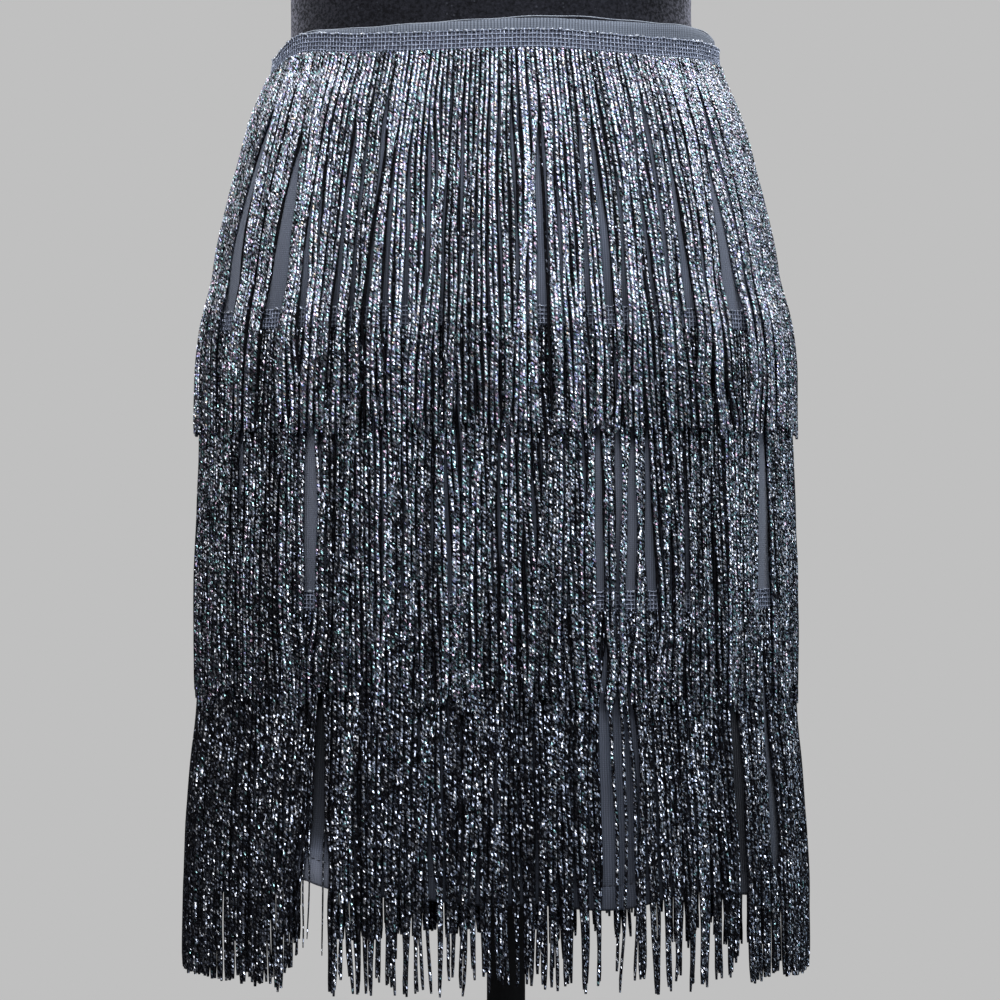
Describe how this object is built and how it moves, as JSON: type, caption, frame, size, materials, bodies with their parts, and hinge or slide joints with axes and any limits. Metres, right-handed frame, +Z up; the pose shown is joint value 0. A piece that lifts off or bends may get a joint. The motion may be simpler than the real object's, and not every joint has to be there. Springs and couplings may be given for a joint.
{
  "type": "fringe pencil skirt on a dress form",
  "caption": "Knee-length pencil skirt of rib knit with tiers of glitter fringe, worn by a limbless velvet dress form on a pole with a round base.",
  "frame": {"origin": "middle of the round base's underside, on the pole's axis", "axes": "+Z up along the pole, -Y the skirt's front, +X to the right of a viewer who faces the front"},
  "size_m": [0.4, 0.4, 1.4903],
  "materials": {
    "knit": "matte",
    "band": "matte",
    "tape": "matte",
    "fringe": "satin",
    "velvet": "matte",
    "black_metal": "satin",
    "black_cap": "satin"
  },
  "bodies": {
    "root": {"skirt_front": "knit", "skirt_back": "knit", "waistband": "band", "fringe_tape_1": "tape", "fringe_tape_2": "tape", "fringe_tape_3": "tape", "fringe_tier_1": "fringe", "fringe_tier_2": "fringe", "fringe_tier_3": "fringe", "form_torso": "velvet", "form_neck_cap": "black_cap", "form_flange": "black_metal", "pole": "black_metal", "base_hub": "black_metal", "base_plate": "black_metal"}
  },
  "joints": []
}
